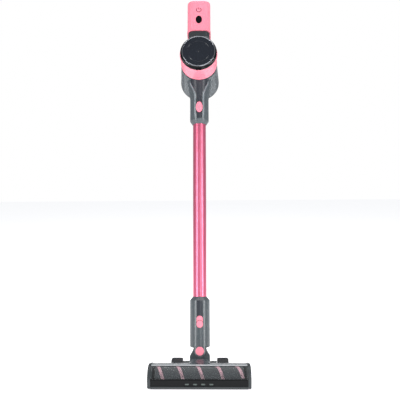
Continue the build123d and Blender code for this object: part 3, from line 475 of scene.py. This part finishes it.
bristles = grown("bristle_row", bristle_tree, pink_nylon, {
    "Radius": ROLLER_R - ROOT_DEPTH, "Turns": 2 * ROLLER_HALF / LEAD,
    "Length": 2 * (ROLLER_HALF - END_MARGIN), "Count": 620, "Row Width": STRIPE_W})
row_start = Matrix.Translation(ROLLER_AXIS - Vector((ROLLER_HALF - END_MARGIN, 0, 0)))
row_turn = Matrix.Rotation(math.radians(90), 4, "Y") @ Matrix.Rotation(STRIPE_START, 4, "Z")
bristles.data.transform(row_start @ row_turn @ Matrix.Scale(-1, 4, (0, 1, 0)))
bristles.data.flip_normals()  # the mirror above turned the faces inwards
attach(bristles, "roller")

# ---------------------------------------------------------------- wheels, belt and elbow
# Two wheels with ribbed soft tyres run on steel axles either side of the elbow, a moulded yoke that lets the
# wand tip and steer. Round pink caps cover the steering pins.
rubber = Finish("soft_black_rubber")
bloom = rubber.noise(5, detail=5.0)
black_rubber = rubber.done(rubber.shader(
    Base_Color=rubber.mix(bloom, colour(40, 41, 43), colour(60, 61, 63)), Roughness=0.62 + bloom * 0.2,
    Normal=rubber.bump(rubber.noise(0.5, detail=3.0), 0.05)))

tread_tree = new_tree("tyre_ribs", [
    ("Radius", "NodeSocketFloat", 0.0172), ("Count", "NodeSocketInt", 54), ("Width", "NodeSocketFloat", 0.02),
    ("Rib", "NodeSocketFloat", 0.0009)])
grow = Grow(tread_tree)
hoop = grow.node("GeometryNodeMeshCircle", None, {
    "Vertices": grow.given("Count"), "Radius": grow.given("Radius")})
outward = grow.node("FunctionNodeAlignEulerToVector", {"axis": "X"}, {
    "Vector": grow.node("GeometryNodeInputPosition")})
rib_size = grow.node("ShaderNodeCombineXYZ", None, {
    "X": 0.0007, "Y": grow.given("Rib"), "Z": grow.given("Width")})
rib = grow.node("GeometryNodeMeshCube", None, {"Size": rib_size})
ribs = grow.node("GeometryNodeInstanceOnPoints", None, {"Points": hoop, "Instance": rib, "Rotation": outward})
grow.finish(ribs, black_rubber)
RIB_SINK = 0.0001
RIB_SHORT = 0.0078  # the ribs are this much narrower than the tyre
for side in ("left", "right"):
    low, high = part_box("tyre_" + side)
    centre = (low + high) / 2
    tread = grown("tread_" + side, tread_tree, black_rubber, {
        "Radius": (high.z - low.z) / 2 - RIB_SINK, "Width": high.x - low.x - RIB_SHORT})
    tread.data.transform(Matrix.Translation(centre) @ Matrix.Rotation(math.radians(90), 4, "Y"))
    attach(tread, "wheel_" + side)
    polished("tyre_" + side, black_rubber)
    polished("wheel_" + side, dark_plastic)
polished("drive_belt", black_rubber)
polished("elbow_yoke", grey_plastic)

PINK, PINK_LIGHT = colour(238, 128, 148), colour(242, 140, 158)
pink_plastic = moulded("soft_pink_plastic", PINK, PINK_LIGHT, 0.28, 0.5, 0.006)
polished("pivot_cap_front", pink_plastic)
polished("pivot_cap_back", pink_plastic)

# ---------------------------------------------------------------- lower connector and wand tube
# The connector is a satin grey sleeve with a gloss strip down its front and a pink push button in two parts
# that frees the wand. The wand is a drawn aluminium tube, brushed along its length and anodised rose.
inlay_plastic = moulded("gloss_dark_inlay", colour(44, 48, 54), colour(56, 60, 66), 0.3, 1.2, 0.004, 0.3)
polished("wire_duct", dark_plastic)

joints = {joint["name"]: joint for joint in frame["joints"]}
UP_WAND = -Vector(joints["wand_slide"]["axis"])
PIVOT = Vector(joints["head_pitch"]["pos_m"])
LEAN = math.atan2(UP_WAND.y, UP_WAND.z)

polished("connector_strip", inlay_plastic)
banded = Finish("connector_plastic")
spot = banded.node("ShaderNodeVectorMath", {"operation": "SUBTRACT"}, {0: banded.place(), 1: tuple(PIVOT)})
height = banded.node("ShaderNodeVectorMath", {"operation": "DOT_PRODUCT"}, {0: spot, 1: tuple(UP_WAND)}, 1)
STRIP_HALF, STRIP_TOP = 0.0069, 0.1525  # half the strip's width, and where it ends above the pitch pivot
across = banded.part(spot, "X")
in_front = banded.part(spot, "Y") < height * math.sin(LEAN)
band = (height > STRIP_TOP) * (across > -STRIP_HALF) * (across < STRIP_HALF) * in_front
tone = banded.mix(band, banded.mix(banded.noise(60, detail=3.0), GREY, GREY_LIGHT), colour(50, 54, 60))
wear = banded.noise(9, stretch=(1, 1, 0.35), detail=4.0)
polished("lower_connector", banded.done(banded.shader(
    Base_Color=tone, Roughness=0.27 + (wear - 0.5) * 0.12,
    Normal=banded.bump(banded.noise(0.35), 0.012, 0.6))))

PAD_BELOW = 0.0045  # the round lower part of the button is centred this far below its middle
SHADOW_SEAM_INNER, SHADOW_SEAM_OUTER, SHADOW_SEAM_FOOT = 0.0074, 0.0088, 0.001
button_low, button_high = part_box("connector_button")
PAD_AT = ((button_low + button_high) / 2 - PIVOT).dot(UP_WAND) - PAD_BELOW
pill = Finish("two_part_button")
spot = pill.node("ShaderNodeVectorMath", {"operation": "SUBTRACT"}, {0: pill.place(), 1: tuple(PIVOT)})
height = pill.node("ShaderNodeVectorMath", {"operation": "DOT_PRODUCT"}, {0: spot, 1: tuple(UP_WAND)}, 1)
rise = height - PAD_AT
reach = pill.square_root(pill.part(spot, "X") * pill.part(spot, "X") + rise * rise)
# The arc round the top of the lower pad is a groove in the bump and, in its darker colour, a painted shadow line
# for the shade under the pad's raised step.
seam_and_shadow = (reach > SHADOW_SEAM_INNER) * (reach < SHADOW_SEAM_OUTER) * (rise > SHADOW_SEAM_FOOT)
tone = pill.mix(seam_and_shadow, pill.mix(pill.noise(40), PINK, PINK_LIGHT), colour(120, 60, 76))
polished("connector_button", pill.done(pill.shader(
    Base_Color=tone, Roughness=0.28 + seam_and_shadow * 0.3, Normal=pill.bump(pill.noise(0.5) - seam_and_shadow * 3, 0.02, 0.6))))

rose = Finish("rose_anodised_aluminium")
turned_place = rose.node("ShaderNodeMapping", None, {"Vector": rose.place(), "Rotation": (LEAN, 0, 0)})
grain = rose.node("ShaderNodeTexNoise", None, {
    "Vector": rose.node("ShaderNodeMapping", None, {"Vector": turned_place, "Scale": (1, 1, 0.012)}),
    "Scale": 2600.0, "Detail": 4.0})
cloud = rose.noise(40, detail=2.0)
rose_metal = rose.done(rose.shader(
    Base_Color=rose.mix(cloud, colour(208, 100, 128), colour(220, 114, 141)), Metallic=0.75,
    Roughness=0.26 + grain * 0.14, Normal=rose.bump(grain, 0.006, 0.5)))
polished("wand_tube", rose_metal)

# ---------------------------------------------------------------- neck
# The neck is part of the barrel frame: satin grey, flared to meet the barrel, with a recessed dark front
# panel between two raised ridges, whose lighter grey is a painted highlight. An oval pink button frees the wand
# from the handheld.
polished("neck_housing", grey_plastic)
polished("neck_inlay", inlay_plastic)
polished("release_button", pink_plastic)

RIDGE_R, RIDGE_SIDES, RIDGE_TIP = 0.0021, 12, 0.35  # a ridge's ends narrow to this share of its radius
RIDGE_SINK = 0.0002
ACROSS_WAND = UP_WAND.cross(Vector((1, 0, 0)))  # points to the back of the wand
# A ridge's way up the neck: how far it is from the middle, and how far above the pitch pivot.
RIDGE_LINE = [(0.0112, 0.6270), (0.0112, 0.6500), (0.0112, 0.6720), (0.0112, 0.6860), (0.0118, 0.6930),
              (0.0138, 0.7010), (0.0170, 0.7090), (0.0204, 0.7160), (0.0232, 0.7235), (0.0252, 0.7310)]
NECK_R, FLARE_AT, FLARE_TO, FLARE_R = 0.0248, 0.684, 0.7473, 0.034  # the neck widens from FLARE_AT upwards


def ridge_mesh():
    """Two raised ribs that follow the edges of the front panel up the neck and out to the barrel."""
    work = bmesh.new()
    for side in (-1, 1):
        path = []
        for x, up in RIDGE_LINE:
            r = NECK_R + max(0.0, (up - FLARE_AT) / (FLARE_TO - FLARE_AT)) * (FLARE_R - NECK_R) - RIDGE_SINK
            depth = math.sqrt(r * r - x * x)
            path.append(PIVOT + Vector((side * x, 0, 0)) - ACROSS_WAND * depth + UP_WAND * up)
        rings = []
        for i, point in enumerate(path):
            ahead = (path[min(i + 1, len(path) - 1)] - path[max(i - 1, 0)]).normalized()
            u = ahead.cross(Vector((0, 1, 0))).normalized()
            v = ahead.cross(u)
            thick = RIDGE_R * (RIDGE_TIP if i in (0, len(path) - 1) else 1.0)
            turns = [2 * math.pi * k / RIDGE_SIDES for k in range(RIDGE_SIDES)]
            rings.append([work.verts.new(point + (u * math.cos(turn) + v * math.sin(turn)) * thick)
                          for turn in turns])
        for a, b in zip(rings, rings[1:]):
            for k in range(RIDGE_SIDES):
                n = (k + 1) % RIDGE_SIDES
                work.faces.new((a[k], a[n], b[n], b[k]))
        work.faces.new(rings[0][::-1])
        work.faces.new(rings[-1])
    bmesh.ops.recalc_face_normals(work, faces=work.faces)
    mesh = bpy.data.meshes.new("neck_ridges")
    work.to_mesh(mesh)
    work.free()
    mesh.polygons.foreach_set("use_smooth", [True] * len(mesh.polygons))
    return mesh


# The ridges' lighter grey is a painted highlight: it stands for the light that the raised ribs catch.
ridge_highlight_plastic = moulded("ridge_grey_painted_highlight", colour(112, 120, 125), colour(124, 132, 137), 0.25)
ridges = add_piece("neck_ridges", ridge_mesh(), ridge_highlight_plastic)
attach(ridges, "handheld")

# ---------------------------------------------------------------- barrel, exhaust cap and disc
# A pink barrel holds the fan motor and its filter. The polished black exhaust cap closes its front, with a
# bright trim ring round a smooth black disc.
BARREL_AT = Vector(joints["fan_spin"]["pos_m"])
AHEAD = Vector(joints["fan_spin"]["axis"])
UP_BARREL = AHEAD.cross(Vector((1, 0, 0)))
BARREL = Matrix((
    (1, UP_BARREL.x, AHEAD.x, BARREL_AT.x), (0, UP_BARREL.y, AHEAD.y, BARREL_AT.y),
    (0, UP_BARREL.z, AHEAD.z, BARREL_AT.z), (0, 0, 0, 1)))  # its origin is the fan's, and Z points ahead


def barrel_points(node):
    """A frame piece's points, measured from the fan along and across the barrel."""
    inverse = BARREL.inverted()
    return [inverse @ v.co for v in nodes[node].data.vertices]


def barrel_span(node):
    """How far along the barrel a frame piece reaches, and its largest radius."""
    points = barrel_points(node)
    return min(p.z for p in points), max(p.z for p in points), max(math.hypot(p.x, p.y) for p in points)


polished("motor_housing", pink_plastic)
polished("exhaust_cap", black_gloss)
disc_gloss = moulded("polished_dark_disc", colour(22, 26, 33), colour(28, 32, 40), 0.2, 2.0, 0.003, 0.4)
polished("cap_disc", disc_gloss)

trim = Finish("bright_trim")
swirl = trim.noise(2.2, detail=3.0)
polished("cap_trim_ring", trim.done(trim.shader(
    Base_Color=trim.mix(swirl, colour(136, 138, 144), colour(166, 169, 176)), Metallic=1.0,
    Roughness=0.14 + swirl * 0.1)))

winding = moulded("motor_can_lacquer", colour(92, 94, 98), colour(112, 114, 118), 0.4, 0.8, 0.02)
polished("motor", winding)
polished("fan", steel_metal)


PLEAT_INNER, PLEAT_OUTER, PLEATS = 0.0350, 0.0405, 64


def pleated_mesh():
    """A filter ring: paper folded to and fro between two radii."""
    back, front, _ = barrel_span("exhaust_filter")
    mesh = bpy.data.meshes.new("filter_pleats")
    work = bmesh.new()
    count = PLEATS * 2
    rings = []
    for z in (back, front):
        ring_verts = []
        for i in range(count):
            turn = 2 * math.pi * i / count
            r = PLEAT_OUTER if i % 2 else PLEAT_INNER
            ring_verts.append(work.verts.new(BARREL @ Vector((r * math.cos(turn), r * math.sin(turn), z))))
        rings.append(ring_verts)
    for i in range(count):
        j = (i + 1) % count
        work.faces.new((rings[0][i], rings[0][j], rings[1][j], rings[1][i]))
    bmesh.ops.recalc_face_normals(work, faces=work.faces)
    work.to_mesh(mesh)
    work.free()
    return mesh


paper = Finish("filter_paper")
weave = paper.noise(1.2, detail=5.0)
paper_white = paper.done(paper.shader(
    Base_Color=paper.mix(weave, colour(206, 205, 198), colour(232, 231, 226)), Roughness=0.9,
    Normal=paper.bump(weave, 0.1)))
pleats = add_piece("filter_pleats", pleated_mesh(), paper_white)
sheet = pleats.modifiers.new("paper", "SOLIDIFY")
sheet.thickness = 0.0006
set_in_place(pleats, "exhaust_filter")

# ---------------------------------------------------------------- dust cup, cyclone and lid
# The cup is one tapered piece of smoked clear plastic. Inside it a screen of fine steel wire stands round the
# cyclone, with a ring of slim moulded cones round the screen.
smoke = Finish("smoked_clear_plastic")
haze = smoke.noise(14, detail=4.0)
rim_light = smoke.node("ShaderNodeLayerWeight", None, {"Blend": 0.35}, 1)
smoke_gloss = smoke.shader(Base_Color=smoke.mix(haze, colour(104, 110, 114), colour(134, 140, 144)),
                           Roughness=0.1 + haze * 0.05, Coat_Weight=0.3)
smoke_through = smoke.node("ShaderNodeBsdfTransparent", None, {"Color": (0.74, 0.77, 0.79, 1)})
polished("dust_cup", smoke.done(smoke.node("ShaderNodeMixShader", None, {
    0: 0.2 + rim_light * 0.5, 1: smoke_through, 2: smoke_gloss})))
polished("cup_lid", dark_plastic)
for name in ("lid_seal", "cup_gasket"):
    polished(name, black_rubber)
polished("lid_latch", pink_plastic)
polished("cyclone_core", grey_plastic)

WIRE_INSET, WIRE_END = 0.0006, 0.001
CONE_OUT, CONE_LENGTH, CONE_BACK, CONES = 0.0045, 0.046, 0.024, 48
screen_back, screen_front, screen_r = barrel_span("mesh_screen")
wire_tree = new_tree("wire_screen", [
    ("Radius", "NodeSocketFloat", 0.03), ("Height", "NodeSocketFloat", 0.05), ("Across", "NodeSocketInt", 96),
    ("Rows", "NodeSocketInt", 26), ("Wire", "NodeSocketFloat", 0.0003)])
grow = Grow(wire_tree)
wall = grow.node("GeometryNodeMeshCylinder", {"fill_type": "NONE"}, {
    "Vertices": grow.given("Across"), "Side Segments": grow.given("Rows"), "Radius": grow.given("Radius"),
    "Depth": grow.given("Height")})
wires = grow.node("GeometryNodeMeshToCurve", None, {"Mesh": wall})
wire_shape = grow.node("GeometryNodeCurvePrimitiveCircle", None, {
    "Resolution": 4, "Radius": grow.given("Wire")})
net = grow.node("GeometryNodeCurveToMesh", None, {"Curve": wires, "Profile Curve": wire_shape})
grow.finish(net, steel_metal)
screen = grown("screen_wires", wire_tree, steel_metal, {
    "Radius": screen_r - WIRE_INSET, "Height": screen_front - screen_back - WIRE_END})
screen.data.transform(BARREL @ Matrix.Translation((0, 0, (screen_back + screen_front) / 2)))
set_in_place(screen, "mesh_screen")

cone_tree = new_tree("ring_of_cones", [
    ("Radius", "NodeSocketFloat", 0.04), ("Count", "NodeSocketInt", 40), ("Length", "NodeSocketFloat", 0.05)])
grow = Grow(cone_tree)
hoop = grow.node("GeometryNodeMeshCircle", None, {
    "Vertices": grow.given("Count"), "Radius": grow.given("Radius")})
cone = grow.node("GeometryNodeMeshCone", None, {
    "Vertices": 10, "Radius Top": 0.0009, "Radius Bottom": 0.0019, "Depth": grow.given("Length")})
cones = grow.node("GeometryNodeInstanceOnPoints", None, {"Points": hoop, "Instance": cone})
grow.finish(cones, grey_plastic)
ring_of_cones = grown("cyclone_cones", cone_tree, grey_plastic, {
    "Radius": screen_r + CONE_OUT, "Length": CONE_LENGTH, "Count": CONES})
ring_of_cones.data.transform(BARREL @ Matrix.Translation((0, 0, screen_front - CONE_BACK)))
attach(ring_of_cones, "handheld")

# ---------------------------------------------------------------- handle
# Two grey half shells, screwed together, make the D-shaped handle. A collar with a squarish skirt and two
# pink half shells stand above the barrel, with the power button in front, its printed sign above it and a
# display on top. The skirt covers the open foot of the pink shells.
for name in ("handle_left", "handle_right"):
    polished(name, grey_plastic)
polished("handle_collar", dark_plastic)
for name in ("handle_head_front", "handle_head_rear"):
    polished(name, pink_plastic)
polished("power_button", black_gloss)
polished("display_lens", black_gloss)

SKIRT_HALF, SKIRT_CORNER = 0.0286, 0.0144
SKIRT_AXIS = -0.020  # along the barrel, from the fan
SKIRT_LOW, SKIRT_TOP = 0.0700, 0.0890  # above the barrel's axis
# Each ring of the skirt: its height and its share of the full width.
SKIRT_RINGS = [(SKIRT_LOW, 0.93), (SKIRT_LOW + 0.0015, 0.965), (SKIRT_TOP - 0.004, 1.0), (SKIRT_TOP, 1.0)]
CORNER_STEPS = 8


def skirt_mesh():
    """The squarish skirt of the collar, which closes the foot of the column from below."""
    work = bmesh.new()
    outline = []
    flat = SKIRT_HALF - SKIRT_CORNER
    for corner, (sx, sz) in enumerate(((1, 1), (-1, 1), (-1, -1), (1, -1))):
        for k in range(CORNER_STEPS + 1):
            turn = math.radians(90 * (corner + k / CORNER_STEPS))
            outline.append((sx * flat + SKIRT_CORNER * math.cos(turn),
                            sz * flat + SKIRT_CORNER * math.sin(turn)))
    rings = []
    for up, share in SKIRT_RINGS:
        rings.append([work.verts.new((x * share, up, SKIRT_AXIS + z * share)) for x, z in outline])
    for a, b in zip(rings, rings[1:]):
        for k in range(len(outline)):
            n = (k + 1) % len(outline)
            work.faces.new((a[k], a[n], b[n], b[k]))
    work.faces.new(rings[0][::-1])
    work.faces.new(rings[-1])
    bmesh.ops.recalc_face_normals(work, faces=work.faces)
    mesh = bpy.data.meshes.new("collar_skirt")
    work.to_mesh(mesh)
    work.free()
    mesh.transform(BARREL)
    return mesh


skirt = add_piece("collar_skirt", skirt_mesh(), dark_plastic)
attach(skirt, "handheld")

ICON_R, ICON_LINE = 0.0064, 0.0019
ICON_UP = 0.0300  # above the middle of the power button
INK_OUT, INK_IN = 0.00012, 0.00006  # how far the ink stands out of the shell, and reaches into it
UPPER_SHELL = 0.1  # the shell's flat front lies above this height
ARC_FROM, ARC_SWEEP, ARC_STEPS = 125, 290, 28  # degrees, degrees, pieces
STROKE_LOW, STROKE_OVER = 0.0005, 0.001
icon_front = max(p.z for p in barrel_points("handle_head_front") if p.y > UPPER_SHELL)
button_heights = [p.y for p in barrel_points("power_button")]
icon_up = (min(button_heights) + max(button_heights)) / 2 + ICON_UP


def printed_icon():
    """The power sign: an open ring with a short stroke in its gap, as a thin layer of ink."""
    def ink(work, outline):
        fronts = [work.verts.new((x, icon_up + y, icon_front + INK_OUT)) for x, y in outline]
        backs = [work.verts.new((x, icon_up + y, icon_front - INK_IN)) for x, y in outline]
        work.faces.new(fronts)
        work.faces.new(backs[::-1])
        for i in range(len(outline)):
            j = (i + 1) % len(outline)
            work.faces.new((fronts[j], fronts[i], backs[i], backs[j]))
    work = bmesh.new()
    steps = [math.radians(ARC_FROM + ARC_SWEEP * i / ARC_STEPS) for i in range(ARC_STEPS + 1)]
    for a, b in zip(steps, steps[1:]):
        inner, outer = ICON_R - ICON_LINE / 2, ICON_R + ICON_LINE / 2
        ink(work, [(inner * math.cos(a), inner * math.sin(a)), (outer * math.cos(a), outer * math.sin(a)),
                   (outer * math.cos(b), outer * math.sin(b)), (inner * math.cos(b), inner * math.sin(b))])
    half = ICON_LINE / 2
    top = ICON_R + STROKE_OVER
    ink(work, [(-half, STROKE_LOW), (half, STROKE_LOW), (half, top), (-half, top)])
    bmesh.ops.recalc_face_normals(work, faces=work.faces)
    mesh = bpy.data.meshes.new("power_sign")
    work.to_mesh(mesh)
    work.free()
    mesh.transform(BARREL)
    return mesh


sign = add_piece("power_sign", printed_icon(), moulded(
    "dark_rose_ink", colour(96, 40, 58), colour(112, 50, 70), 0.5, 0.6, 0.004))
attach(sign, "handheld")
for name in ("grip_cover", "grip_pad"):
    polished(name, black_rubber)
board = moulded("green_circuit_board", colour(18, 84, 52), colour(24, 98, 62), 0.4, 0.6, 0.02)
polished("control_board", board)

# ---------------------------------------------------------------- battery
# The battery is a rounded grey block that slides on the foot of the handle. A pink latch frees it, and the
# charger's plug goes into a round jack in its back.
polished("battery_pack", grey_plastic)
polished("battery_latch", pink_plastic)
polished("charge_socket", dark_plastic)
